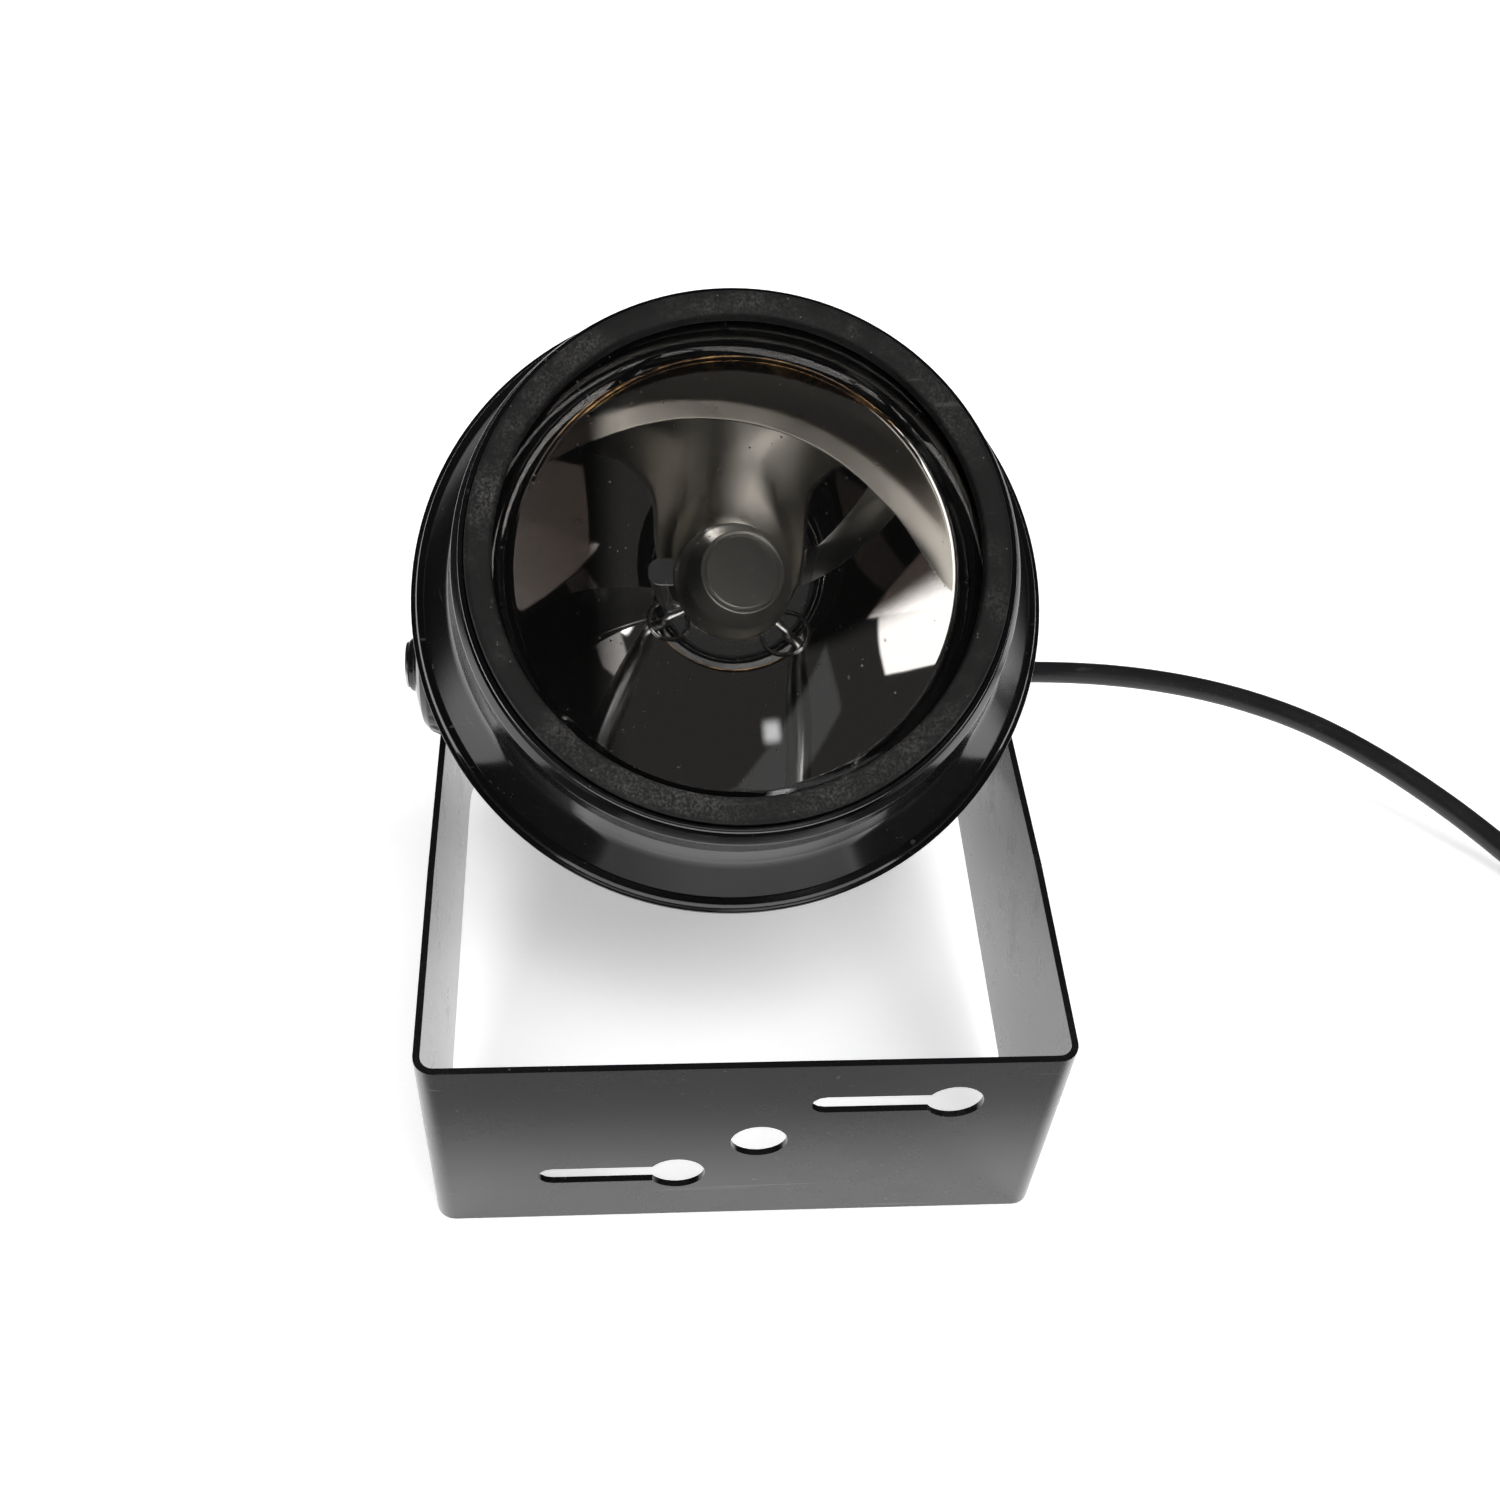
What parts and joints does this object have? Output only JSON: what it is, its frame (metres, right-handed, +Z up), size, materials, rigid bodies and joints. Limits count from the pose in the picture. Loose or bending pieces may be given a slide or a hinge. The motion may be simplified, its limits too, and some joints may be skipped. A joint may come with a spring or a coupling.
{
  "type": "stage light",
  "caption": "Pin spot stage light: a round head with a sealed beam lamp, tilting between the arms of a wide U bracket, with side knobs and a mains cord.",
  "frame": {"origin": "on the table, under the middle of the box round the bracket, head and knobs", "axes": "+Z up, +X to the viewer's right along the pivot, -Y towards the viewer, where the bracket's base stands"},
  "size_m": [0.455, 0.2395, 0.1832],
  "materials": {
    "black_paint": "satin",
    "black_rubber": "matte",
    "lamp_glass": "gloss",
    "lamp_mirror": "gloss",
    "plated_steel": "satin",
    "core_steel": "satin",
    "coil_tape": "satin",
    "knob_plastic": "gloss",
    "cord_plastic": "satin",
    "lead_plastic": "satin",
    "plug_brass": "satin"
  },
  "bodies": {
    "yoke": {"yoke_bracket": "black_paint", "cord_run": "cord_plastic", "cord_coil": "cord_plastic", "coil_tie": "cord_plastic", "plug_body": "cord_plastic", "plug_blade_left": "plug_brass", "plug_blade_right": "plug_brass", "plug_earth_pin": "plug_brass"},
    "head": {"front_cover": "black_paint", "gasket_ring": "black_rubber", "lamp_lens": "lamp_glass", "lamp_reflector": "lamp_mirror", "filament": "plated_steel", "lamp_post_left": "plated_steel", "lamp_post_right": "plated_steel", "lamp_ferrule_left": "plated_steel", "lamp_ferrule_right": "plated_steel", "terminal_screw_left": "plated_steel", "terminal_screw_right": "plated_steel", "glare_shield": "lamp_mirror", "shield_leg": "plated_steel", "lamp_retainer": "plated_steel", "rear_housing": "black_paint", "cover_screw_1": "plated_steel", "cover_screw_2": "plated_steel", "cover_screw_3": "plated_steel", "transformer_core": "core_steel", "transformer_coil": "coil_tape", "transformer_strap": "plated_steel", "transformer_screw_left": "plated_steel", "transformer_screw_right": "plated_steel", "lead_wire_left": "lead_plastic", "lead_wire_right": "lead_plastic", "mains_lead": "lead_plastic", "strain_relief": "cord_plastic", "pivot_nut_left": "plated_steel", "pivot_nut_right": "plated_steel", "pivot_washer_left": "black_rubber", "pivot_washer_right": "black_rubber"},
    "knob_left": {"knob_left": "knob_plastic", "knob_stud_left": "plated_steel", "knob_washer_left": "plated_steel"},
    "knob_right": {"knob_right": "knob_plastic", "knob_stud_right": "plated_steel", "knob_washer_right": "plated_steel"}
  },
  "joints": [
    {"name": "tilt", "type": "hinge", "parent": "yoke", "child": "head", "pos_m": [0, 0.05437, 0.05613], "axis": [1, 0, 0], "range_deg": [-258, 2], "deforming": ["cord_run"]},
    {"name": "left_knob_turn", "type": "hinge", "parent": "head", "child": "knob_left", "pos_m": [-0.07, 0.05437, 0.05613], "axis": [-1, 0, 0], "range_deg": [0, 360]},
    {"name": "right_knob_turn", "type": "hinge", "parent": "head", "child": "knob_right", "pos_m": [0.07, 0.05437, 0.05613], "axis": [1, 0, 0], "range_deg": [0, 360]}
  ]
}
